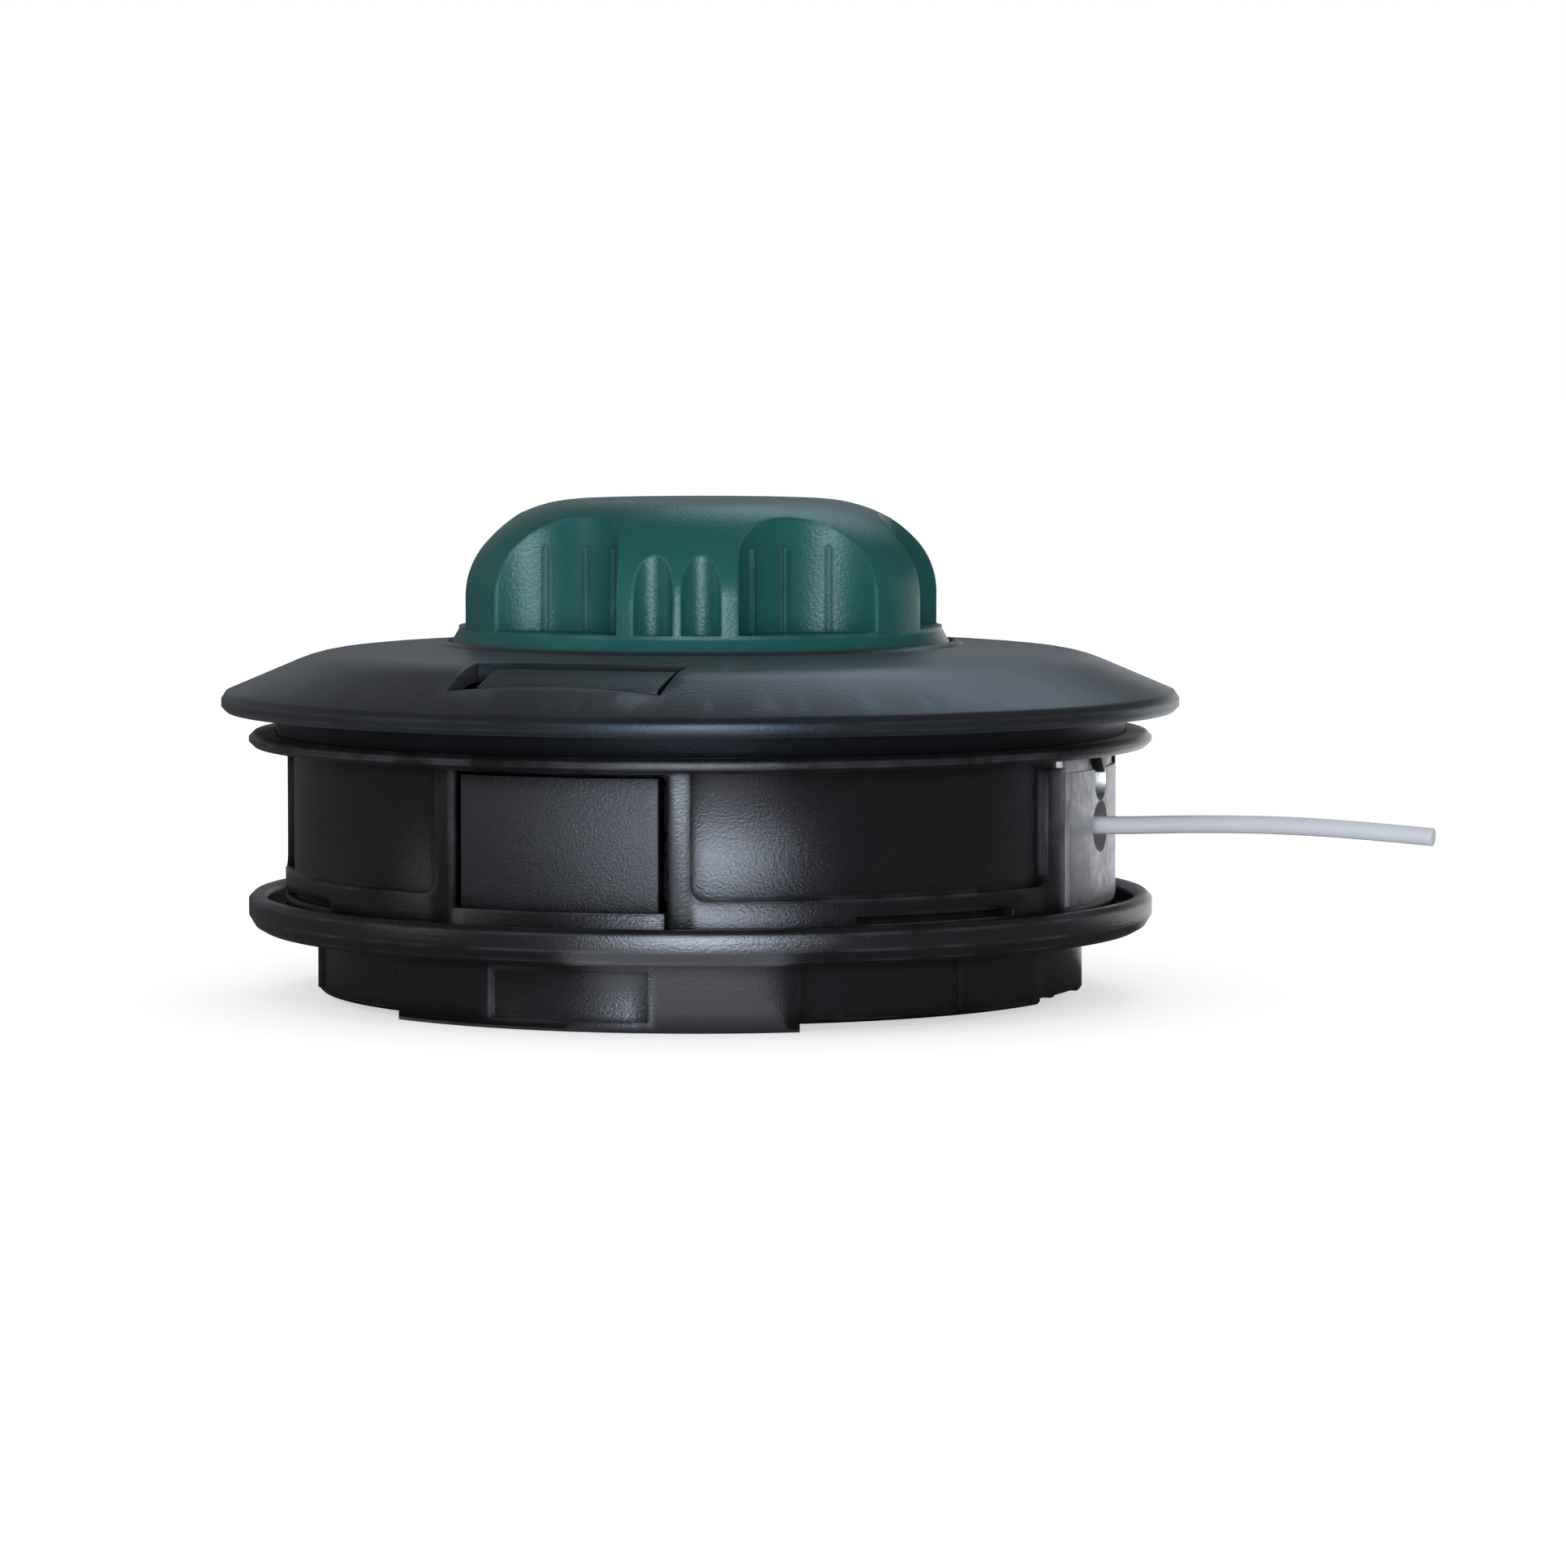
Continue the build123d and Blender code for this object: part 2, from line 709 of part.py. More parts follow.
# Spool
with BuildPart() as spool:
    z_lower = z_spool + flange_thickness
    z_upper = z_spool_top - flange_thickness
    with BuildSketch(Plane.XZ):
        add(
            half_section(
                (bore_radius, z_spool, 0),
                (flange_radius, z_spool, 0),
                (flange_radius, z_lower, 0),
                (core_radius, z_lower, 0),
                (core_radius, z_divider, 0),
                (flange_radius, z_divider, 0),
                (flange_radius, z_divider + divider_thickness, 0),
                (core_radius, z_divider + divider_thickness, 0),
                (core_radius, z_upper, 0),
                (flange_radius, z_upper, 0),
                (flange_radius, z_spool_top, 0),
                (socket_radius, z_spool_top, 0),
                (socket_radius, z_web_top + socket_height, 0),
                (0, z_web_top + socket_height, 0),
                (0, z_web, 0),
                (upper_bore, z_web, 0),
                (upper_bore, z_step, 0),
                (bore_radius, z_step, 0),
            )
        )
    revolve(axis=Axis.Z)
    # Hexagon socket for the knob and the screw hole
    with BuildSketch(Plane.XY.offset(z_web_top)):
        RegularPolygon(knob_hex / 2 + fit_clearance / 2, 6, major_radius=False)
    extrude(amount=socket_height, mode=Mode.SUBTRACT)
    with Locations((0, 0, z_web)):
        Cylinder(
            screw_radius + fit_clearance,
            web_thickness,
            align=(Align.CENTER, Align.CENTER, Align.MIN),
            mode=Mode.SUBTRACT,
        )
    # Line tunnel through the core and its ways through the divider
    z_tunnel = z_divider + divider_thickness / 2
    with Locations(Location((0, 0, z_tunnel), (0, 90, 0))):
        Cylinder(tunnel_radius, 2 * core_radius, mode=Mode.SUBTRACT)
    with BuildSketch(Plane.XY.offset(z_divider)):
        Rectangle(2 * flange_radius, 2 * tunnel_radius)
        Circle(core_radius, mode=Mode.SUBTRACT)
    extrude(amount=divider_thickness, mode=Mode.SUBTRACT)
    # Ratchet lugs above and below
    top_lug = ramp_lug(z_spool_top - flange_thickness / 4, z_spool_top + lug_height)
    bottom_lug = ramp_lug(z_spool + flange_thickness / 4, z_spool - lug_height)
    with PolarLocations(0, lug_count):
        add(top_lug)
        add(bottom_lug)
save(spool, "spool")


def wind(z_start):
    """Turns of line in one chamber, ridged where the outer turns show."""
    inner = core_radius + fit_clearance
    outer = inner + layers * line_diameter - line_diameter / 2
    z_first = z_start + row_slack / 2
    z_last = z_first + rows * line_diameter
    ridges = []
    for row in range(rows):
        z_row = z_first + row * line_diameter
        ridges.append((outer, z_row))
        ridges.append((outer + line_diameter / 2, z_row + line_diameter / 2))
    with BuildPart() as roll:
        with BuildSketch(Plane.XZ):
            with BuildLine():
                Polyline((inner, z_first), *ridges, (outer, z_last), (inner, z_last), close=True)
            make_face()
        revolve(axis=Axis.Z)
    return roll


# Line on the spool, one roll in each chamber
winding_lower = wind(z_lower)
save(winding_lower, "winding_lower")
winding_upper = wind(z_divider + divider_thickness)
save(winding_upper, "winding_upper")

# Free end of the line
runs = [math.dist(a, b) for a, b in zip(tail_points, tail_points[1:])]
ways = [Vector(*b) - Vector(*a) for a, b in zip(tail_points, tail_points[1:])]
turns = [a.get_angle(b) for a, b in zip(ways, ways[1:])]
tail_radii = [
    tail_blend * min(before, after) / math.tan(math.radians(turn / 2))
    for before, after, turn in zip(runs, runs[1:], turns)
]
with BuildPart() as line_tail:
    with BuildLine() as tail_path:
        FilletPolyline(*tail_points, radius=tail_radii)
    with BuildSketch(Plane(origin=tail_points[0], z_dir=ways[0])):
        Circle(line_diameter / 2)
    sweep()
tail_length = tail_path.wires()[0].length
tail_section = math.pi * line_diameter**2 / 4
print("tail radii", [round(radius, 1) for radius in tail_radii])
print("tail length", round(tail_length, 2))
print("tail volume share", round(line_tail.part.volume / tail_length / tail_section, 3))
save(line_tail, "line_tail")

# Return spring and its washer
with BuildPart() as coil_spring:
    coil_height = spring_height - wire_diameter - 2 * seat_gap
    z_coil = z_floor + wire_diameter / 2 + seat_gap
    with BuildLine() as coil_path:
        Helix(coil_height / spring_turns, coil_height, spring_radius, center=(0, 0, z_coil))
    with BuildSketch(Plane(origin=coil_path.line @ 0, z_dir=coil_path.line % 0)):
        RegularPolygon(wire_diameter / 2, 4)
    sweep(is_frenet=True)
save(coil_spring, "coil_spring")

with BuildPart() as spring_washer:
    with BuildSketch(Plane.XY.offset(z_washer)):
        Circle(bore_radius - running_clearance)
        Circle(upper_bore, mode=Mode.SUBTRACT)
    extrude(amount=washer_thickness)
save(spring_washer, "spring_washer")

# Knob screw and its washer
with BuildPart() as knob_screw:
    with Locations((0, 0, z_screw)):
        Cylinder(
            screw_head_radius,
            screw_head_height,
            align=(Align.CENTER, Align.CENTER, Align.MIN),
        )
        Cylinder(
            screw_radius,
            screw_head_height + screw_length,
            align=(Align.CENTER, Align.CENTER, Align.MIN),
        )
    chamfer(knob_screw.faces().sort_by(Axis.Z)[0].edges(), fine_bevel)
    with BuildSketch(Plane.XY.offset(z_screw)):
        RegularPolygon(screw_radius, 6)
    extrude(amount=screw_head_height / 2, mode=Mode.SUBTRACT)
save(knob_screw, "knob_screw")

with BuildPart() as screw_washer:
    with BuildSketch(Plane.XY.offset(z_screw + screw_head_height)):
        Circle(screw_washer_radius)
        Circle(screw_radius + fit_clearance, mode=Mode.SUBTRACT)
    extrude(amount=washer_thickness)
save(screw_washer, "screw_washer")

# Bump knob
land_angles = [knob_turn + step for step in (0, 120, 240)]
scallop_angles = [land + way * scallop_offset for land in land_angles for way in (-1, 1)]
flute_angles = [land + way * flute_offset for land in land_angles for way in (-1, 1)]


def on_circle(radius, angles):
    """Points at one radius, one for each direction."""
    return [
        (radius * math.cos(math.radians(angle)), radius * math.sin(math.radians(angle)))
        for angle in angles
    ]


with BuildPart() as bump_knob:
    z_crown_start = z_knob_top - knob_crown_drop
    # Flat crown arc that runs smoothly into the tighter corner arc
    crown_width = knob_radius - knob_top_radius
    crown_excess = crown_width**2 + knob_crown_drop**2 - 2 * crown_width * knob_corner_radius
    crown_radius = crown_excess / (2 * (knob_crown_drop - knob_corner_radius))
    join_angle = math.degrees(
        math.atan2(crown_radius - knob_crown_drop, crown_width - knob_corner_radius)
    )
    with BuildSketch(Plane.XZ):
        with BuildLine():
            Line((0, z_knob_top), (knob_top_radius, z_knob_top))
            crown_centre = (knob_top_radius, z_knob_top - crown_radius)
            CenterArc(crown_centre, crown_radius, join_angle, 90 - join_angle)
            corner_centre = (knob_radius - knob_corner_radius, z_crown_start)
            CenterArc(corner_centre, knob_corner_radius, 0, join_angle)
            Polyline(
                (knob_radius, z_crown_start),
                (knob_radius, z_grip_floor - fine_bevel),
                (foot_radius, z_crown),
                (foot_radius, z_knob_flange),
                (foot_radius + knob_flange, z_knob_flange),
                (foot_radius + knob_flange, z_knob_bottom),
                (0, z_knob_bottom),
                (0, z_knob_top),
            )
        make_face()
    revolve(axis=Axis.Z)
    # Finger scallops and flute pairs
    with BuildSketch(Plane.XY.offset(z_grip_floor)):
        with Locations(*on_circle(scallop_centre, scallop_angles)):
            Circle(scallop_radius)
        with Locations(*on_circle(flute_centre, flute_angles)):
            Circle(flute_radius)
    extrude(amount=knob_rise, mode=Mode.SUBTRACT)
    # Three thin ribs in each scallop
    for angle, point in zip(scallop_angles, on_circle(scallop_centre, scallop_angles)):
        for spread in (-grip_rib_spread, 0, grip_rib_spread):
            with Locations(Location((*point, z_grip_floor), (0, 0, angle + 180 + spread))):
                with Locations((scallop_radius, 0)):
                    Box(
                        2 * grip_rib_proud,
                        grip_rib_width,
                        grip_rib_height,
                        align=(Align.CENTER, Align.CENTER, Align.MIN),
                    )
    # Hollow inside, following the scallops, with the hexagon boss left standing
    hollow_radius = flute_centre - flute_radius - knob_wall + running_clearance
    with BuildSketch(Plane.XY.offset(z_knob_bottom)):
        Circle(hollow_radius)
        with Locations(*on_circle(scallop_centre, scallop_angles)):
            Circle(scallop_radius + knob_wall, mode=Mode.SUBTRACT)
    extrude(amount=z_crown_start - z_knob_bottom, mode=Mode.SUBTRACT)
    with BuildSketch(Plane.XY.offset(z_crown_start)):
        Circle(scallop_centre - scallop_radius - knob_wall)
    extrude(amount=knob_crown_drop - 2 * knob_wall, mode=Mode.SUBTRACT)
    with BuildSketch(Plane.XY.offset(z_web_top)):
        RegularPolygon(knob_hex / 2, 6, major_radius=False)
    extrude(amount=z_knob_top - knob_wall - z_web_top)
    with Locations((0, 0, z_web_top)):
        Cylinder(
            screw_radius + seat_gap,
            screw_length,
            align=(Align.CENTER, Align.CENTER, Align.MIN),
            mode=Mode.SUBTRACT,
        )
save(bump_knob, "bump_knob")
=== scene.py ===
import bpy
import math
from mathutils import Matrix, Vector


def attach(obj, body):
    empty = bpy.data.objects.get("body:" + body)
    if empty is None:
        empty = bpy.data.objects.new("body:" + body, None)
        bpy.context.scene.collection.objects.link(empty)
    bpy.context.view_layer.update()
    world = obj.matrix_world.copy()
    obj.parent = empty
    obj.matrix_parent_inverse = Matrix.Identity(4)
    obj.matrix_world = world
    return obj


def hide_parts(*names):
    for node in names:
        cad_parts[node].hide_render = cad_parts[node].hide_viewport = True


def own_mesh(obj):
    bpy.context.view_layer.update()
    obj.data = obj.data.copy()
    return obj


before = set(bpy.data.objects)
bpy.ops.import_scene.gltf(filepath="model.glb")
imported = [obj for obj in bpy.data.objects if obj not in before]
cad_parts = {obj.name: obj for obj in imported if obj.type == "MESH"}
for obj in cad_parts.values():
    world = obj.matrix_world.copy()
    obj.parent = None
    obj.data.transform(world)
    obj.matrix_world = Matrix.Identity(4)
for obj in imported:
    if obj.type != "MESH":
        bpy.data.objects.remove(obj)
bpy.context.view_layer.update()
print("frame loaded,", len(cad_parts), "nodes")


# camera at the photo's angle: low, and a little right of the front latch
shotCamera = {
    "turn": 19.5,           # degrees round from the front
    "distance": 0.9,
    "height": 0.092,
    "aimAcross": 0.0112,    # the head sits left of the middle, the line fills the right
    "aimHeight": 0.0285,
    "lens": 152.2,
    "sensor": 36.0,
    "near": 0.01,
}


def placeCamera(shot):
    turn = math.radians(shot["turn"])
    across = Vector((math.cos(turn), math.sin(turn), 0))
    eye = Vector((math.sin(turn), -math.cos(turn), 0)) * shot["distance"]
    eye.z = shot["height"]
    aim = across * shot["aimAcross"]
    aim.z = shot["aimHeight"]
    bpy.ops.object.camera_add(location=eye)
    camera = bpy.context.object
    camera.name = "shotCamera"
    camera.rotation_euler = (aim - eye).to_track_quat("-Z", "Y").to_euler()
    camera.data.sensor_fit = "VERTICAL"
    camera.data.sensor_height = shot["sensor"]
    camera.data.lens = shot["lens"]
    camera.data.clip_start = shot["near"]
    bpy.context.scene.camera = camera


placeCamera(shotCamera)
print("camera placed")


# free end of the line, the same points as the solid's, in metres
tailLine = {
    "points": (
        (0.0486, 0.0, 0.0242),
        (0.0584, 0.0001, 0.02425),
        (0.0686, 0.0, 0.02475),
        (0.0802, -0.0002, 0.02495),
        (0.0916, -0.0005, 0.0246),
        (0.1022, -0.0009, 0.0239),
    ),
    "diameter": 0.0024,
    "length": 0.0537,
    "stepsAlong": 10,
    "stepsRound": 6,
}


def layTailLine(line):
    curve = bpy.data.curves.new("tailLine", "CURVE")
    curve.dimensions = "3D"
    spline = curve.splines.new("NURBS")
    spline.points.add(len(line["points"]) - 1)
    for point, place in zip(spline.points, line["points"]):
        point.co = (*place, 1)
        point.radius = line["diameter"] / 2
    spline.order_u = 3
    spline.use_endpoint_u = True
    curve.resolution_u = line["stepsAlong"]
    curve.bevel_depth = 1.0     # times each point's radius
    curve.bevel_resolution = line["stepsRound"]
    curve.use_fill_caps = True
    tail = bpy.data.objects.new("tailLine", curve)
    bpy.context.scene.collection.objects.link(tail)
    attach(tail, "housing")
    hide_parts("line_tail")
    return tail


tail = layTailLine(tailLine)
print("line laid")


# the solids' own forms with their edges broken, as moulds and presses leave them
softEdges = {
    "cover": {"body": "housing", "slot": "body_plastic", "width": 0.0005, "segments": 2},
    "drum": {"body": "housing", "slot": "body_plastic", "width": 0.00035, "segments": 2},
    "base": {"body": "housing", "slot": "body_plastic", "width": 0.00045, "segments": 2},
    "bump_knob": {"body": "spool_unit", "slot": "knob_plastic", "width": 0.0007, "segments": 3},
    "latch_front": {"body": "front_latch", "slot": "body_plastic", "width": 0.0003, "segments": 2},
    "latch_back": {"body": "back_latch", "slot": "body_plastic", "width": 0.0003, "segments": 2},
    "eyelet_right": {"body": "housing", "slot": "eyelet_aluminium", "width": 0.0002, "segments": 2},
    "eyelet_left": {"body": "housing", "slot": "eyelet_aluminium", "width": 0.0002, "segments": 2},
    "coil_spring": {"body": "housing", "slot": "spring_steel", "width": 0.0004, "segments": 2},
    "latch_spring_front": {"body": "housing", "slot": "spring_steel", "width": 0.0001, "segments": 1},
    "latch_spring_back": {"body": "housing", "slot": "spring_steel", "width": 0.0001, "segments": 1},
}
edgeAngle = math.radians(28)     # flatter than this is a curved face, not an edge
flatAngle = math.radians(0.4)
mergeGap = 0.000002


def breakEdges(node, soft):
    bpy.ops.object.select_all(action="DESELECT")
    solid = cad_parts[node]
    piece = solid.copy()
    piece.data = solid.data.copy()
    piece.name = node + "_soft"
    bpy.context.scene.collection.objects.link(piece)
    for key in [key for key in piece.keys() if key.startswith("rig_")]:
        del piece[key]
    piece.parent = None
    piece.select_set(True)
    bpy.context.view_layer.objects.active = piece
    bpy.ops.object.mode_set(mode="EDIT")
    bpy.ops.mesh.select_all(action="SELECT")
    bpy.ops.mesh.customdata_custom_splitnormals_clear()
    bpy.ops.mesh.remove_doubles(threshold=mergeGap)
    bpy.ops.mesh.dissolve_limited(angle_limit=flatAngle)
    bpy.ops.object.mode_set(mode="OBJECT")
    bevel = piece.modifiers.new("edges", "BEVEL")
    bevel.width = soft["width"]
    bevel.segments = soft["segments"]
    bevel.limit_method = "ANGLE"
    bevel.angle_limit = edgeAngle
    bevel.harden_normals = False
    bpy.ops.object.modifier_apply(modifier=bevel.name)
    bpy.ops.object.shade_smooth_by_angle(angle=edgeAngle)
    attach(piece, soft["body"])
    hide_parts(node)
    return piece


pieces = {node: breakEdges(node, soft) for node, soft in softEdges.items()}
print("edges broken on", len(pieces), "pieces")


# springs that the joints press towards their seats, each given a mesh of its own
pressedSprings = {
    "coil_spring": {"joint": "knob_bump", "axis": (0, 0, 1), "seat": (0, 0, 0.00605), "keep": 0.66},
    "latch_spring_front": {
        "joint": "latch_front_press", "axis": (0, 1, 0), "seat": (0, -0.05075, 0.021), "keep": 0.66,
    },
    "latch_spring_back": {
        "joint": "latch_back_press", "axis": (0, 1, 0), "seat": (0, 0.05075, 0.021), "keep": 0.66,
    },
}
for node, press in pressedSprings.items():
    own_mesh(pieces[node])
print("springs set")


def addNode(tree, kind, inputs=(), **settings):
    made = tree.nodes.new(kind)
    for name, value in settings.items():
        setattr(made, name, value)
    for socket, value in dict(inputs).items():
        made.inputs[socket].default_value = value
    return made


def combine(tree, operation, first, second):
    made = addNode(tree, "ShaderNodeMath", operation=operation)
    tree.links.new(first, made.inputs[0])
    tree.links.new(second, made.inputs[1])
    return made.outputs[0]


def remap(tree, value, start, end, first=0.0, last=1.0):
    spans = {"From Min": start, "From Max": end, "To Min": first, "To Max": last}
    made = addNode(tree, "ShaderNodeMapRange", spans)
    tree.links.new(value, made.inputs["Value"])
    return made.outputs["Result"]


# mixes colours that are given as values or come from other nodes
def mixColours(tree, factor, first, second):
    made = addNode(tree, "ShaderNodeMix", data_type="RGBA")
    tree.links.new(factor, made.inputs["Factor"])
    for socket, colour in (("A", first), ("B", second)):
        if isinstance(colour, tuple):
            made.inputs[socket].default_value = (*colour, 1)
        else:
            tree.links.new(colour, made.inputs[socket])
    return made.outputs["Result"]


def newGroup(name, takes, gives):
    tree = bpy.data.node_groups.new(name, "ShaderNodeTree")
    for socket, value in takes.items():
        made = tree.interface.new_socket(socket, in_out="INPUT", socket_type="NodeSocketFloat")
        made.default_value = value
    for socket in gives:
        tree.interface.new_socket(socket, in_out="OUTPUT", socket_type="NodeSocketFloat")
    return tree, tree.nodes.new("NodeGroupInput"), tree.nodes.new("NodeGroupOutput")


def newMaterial(name):
    material = bpy.data.materials.new(name)
    material.use_nodes = True
    tree = material.node_tree
    tree.nodes.clear()
    shader = tree.nodes.new("ShaderNodeBsdfPrincipled")
    output = tree.nodes.new("ShaderNodeOutputMaterial")
    tree.links.new(shader.outputs["BSDF"], output.inputs["Surface"])
    return material, tree, shader


# grain of a spark-eroded mould: fine pits, slow clouds, bright specks and level turning marks
grainLook = {
    "clouds": 38.0,
    "speckDensity": 1.7,            # times the pits' fineness
    "speckSize": (0.34, 0.12),      # from its rim to its middle
    "speckChoice": (0.45, 0.7),     # specks show only where the pits are high
    "turning": (45, 45, 2600),      # long round the head, fine up and down it
}


def makeMouldGrain(look):
    takesSockets = {"Fineness": 900.0, "Specks": 0.5, "Streaks": 0.0}
    tree, takes, gives = newGroup("mouldGrain", takesSockets, ("Pits", "Clouds", "Specks"))
    link = tree.links.new
    place = addNode(tree, "ShaderNodeTexCoord").outputs["Object"]
    pits = addNode(tree, "ShaderNodeTexNoise", {"Detail": 4.0, "Roughness": 0.6})
    link(place, pits.inputs["Vector"])
    link(takes.outputs["Fineness"], pits.inputs["Scale"])
    clouds = addNode(tree, "ShaderNodeTexNoise", {"Scale": look["clouds"], "Detail": 3.0, "Roughness": 0.55})
    link(place, clouds.inputs["Vector"])
    denser = addNode(tree, "ShaderNodeMath", {1: look["speckDensity"]}, operation="MULTIPLY")
    link(takes.outputs["Fineness"], denser.inputs[0])
    dots = addNode(tree, "ShaderNodeTexVoronoi")
    link(place, dots.inputs["Vector"])
    link(denser.outputs[0], dots.inputs["Scale"])
    rim, middle = look["speckSize"]
    near = remap(tree, dots.outputs["Distance"], middle, rim, 1.0, 0.0)
    picked = remap(tree, pits.outputs["Fac"], *look["speckChoice"])
    speck = combine(tree, "MULTIPLY", near, picked)
    drawn = addNode(tree, "ShaderNodeMapping", {"Scale": look["turning"]})
    link(place, drawn.inputs["Vector"])
    turned = addNode(tree, "ShaderNodeTexNoise", {"Scale": 1.0, "Detail": 3.0})
    link(drawn.outputs["Vector"], turned.inputs["Vector"])
    marks = combine(tree, "MULTIPLY", turned.outputs["Fac"], takes.outputs["Streaks"])
    link(combine(tree, "ADD", pits.outputs["Fac"], marks), gives.inputs["Pits"])
    link(clouds.outputs["Fac"], gives.inputs["Clouds"])
    link(combine(tree, "MULTIPLY", speck, takes.outputs["Specks"]), gives.inputs["Specks"])
    return tree


# thin rubbed scratches in two directions
scuffLook = {
    "turns": ((0.3, 0.2, 0.4), (-0.5, 0.7, -0.9)),
    "stretch": (30.0, 700.0, 700.0),
    "shown": (0.64, 0.74),
}


def makeScuffs(look):
    tree, takes, gives = newGroup("scuffs", {"Amount": 0.5}, ("Scratches",))
    link = tree.links.new
    place = addNode(tree, "ShaderNodeTexCoord").outputs["Object"]
    found = []
    for turn in look["turns"]:
        turned = addNode(tree, "ShaderNodeMapping", {"Rotation": turn})
        link(place, turned.inputs["Vector"])
        drawn = addNode(tree, "ShaderNodeVectorMath", {1: look["stretch"]}, operation="MULTIPLY")
        link(turned.outputs["Vector"], drawn.inputs[0])
        noise = addNode(tree, "ShaderNodeTexNoise", {"Scale": 1.0, "Detail": 2.0})
        link(drawn.outputs["Vector"], noise.inputs["Vector"])
        found.append(remap(tree, noise.outputs["Fac"], *look["shown"]))
    both = combine(tree, "MAXIMUM", *found)
    link(combine(tree, "MULTIPLY", both, takes.outputs["Amount"]), gives.inputs["Scratches"])
    return tree


# edges that hands and grass have rubbed: rounder, and lighter in patches, the lighter colour partly worn
# plastic and partly a painted highlight along the edges
edgeWearAndHighlightLook = {
    "samples": 2,
    "sharp": (0.995, 0.93),     # cosines, from a flat face to a full edge
    "patches": 160.0,
    "patchy": (0.35, 0.65),
}


def makeEdgeWearAndHighlight(look):
    tree, takes, gives = newGroup("edgeWearAndHighlight", {"Radius": 0.0005, "Amount": 0.6}, ("WornAndHighlit",))
    tree.interface.new_socket("Rounded", in_out="OUTPUT", socket_type="NodeSocketVector")
    link = tree.links.new
    place = addNode(tree, "ShaderNodeTexCoord")
    surface = addNode(tree, "ShaderNodeNewGeometry")
    rounded = addNode(tree, "ShaderNodeBevel", samples=look["samples"])
    link(takes.outputs["Radius"], rounded.inputs["Radius"])
    link(rounded.outputs["Normal"], gives.inputs["Rounded"])
    turned = addNode(tree, "ShaderNodeVectorMath", operation="DOT_PRODUCT")
    link(rounded.outputs["Normal"], turned.inputs[0])
    link(surface.outputs["Normal"], turned.inputs[1])
    sharp = remap(tree, turned.outputs["Value"], *look["sharp"])
    broken = addNode(tree, "ShaderNodeTexNoise", {"Scale": look["patches"], "Detail": 3.0})
    link(place.outputs["Object"], broken.inputs["Vector"])
    wornAndHighlit = combine(tree, "MULTIPLY", sharp, remap(tree, broken.outputs["Fac"], *look["patchy"]))
    link(combine(tree, "MULTIPLY", wornAndHighlit, takes.outputs["Amount"]), gives.inputs["WornAndHighlit"])
    return tree


# painted shade in gaps and corners, where little light gets in: the colour there turns dark and the
# reflection dims
paintedCreviceShadeLook = {
    "samples": 2,
    "reach": 0.003,
    "span": (0.35, 0.85),       # shares of open air, from shut in to free
}


def makePaintedCreviceShade(look):
    tree, takes, gives = newGroup("paintedCreviceShade", {"Amount": 0.9}, ("Open",))
    air = addNode(
        tree, "ShaderNodeAmbientOcclusion", {"Distance": look["reach"]}, samples=look["samples"]
    )
    shut = remap(tree, air.outputs["AO"], *look["span"], 1.0, 0.0)
    shadeDepth = combine(tree, "MULTIPLY", shut, takes.outputs["Amount"])
    left = addNode(tree, "ShaderNodeMath", {0: 1.0}, operation="SUBTRACT")
    tree.links.new(shadeDepth, left.inputs[1])
    tree.links.new(left.outputs[0], gives.inputs["Open"])
    return tree


mouldGrain = makeMouldGrain(grainLook)
scuffs = makeScuffs(scuffLook)
edgeWearAndHighlight = makeEdgeWearAndHighlight(edgeWearAndHighlightLook)
paintedCreviceShade = makePaintedCreviceShade(paintedCreviceShadeLook)
print("shared finishes made")


noiseSpan = (0.3, 0.7)      # where most of a noise's values lie
grainHeight = 0.0001        # metres
# near black colour of the painted shade in gaps and corners
creviceShadeColour = (0.0015, 0.0015, 0.0017)
dustBloom = {"roughness": 0.5, "tint": (0.92, 0.96, 1.0)}


def spreadGloss(tree, shader, drift, look):
    gloss = remap(tree, drift, *noiseSpan, *look["gloss"])
    tree.links.new(gloss, shader.inputs["Roughness"])


def pitSurface(tree, shader, grain, look):
    bump = addNode(tree, "ShaderNodeBump", {"Strength": look["depth"], "Distance": grainHeight})
    tree.links.new(grain.outputs["Pits"], bump.inputs["Height"])
    tree.links.new(bump.outputs["Normal"], shader.inputs["Normal"])
    return bump


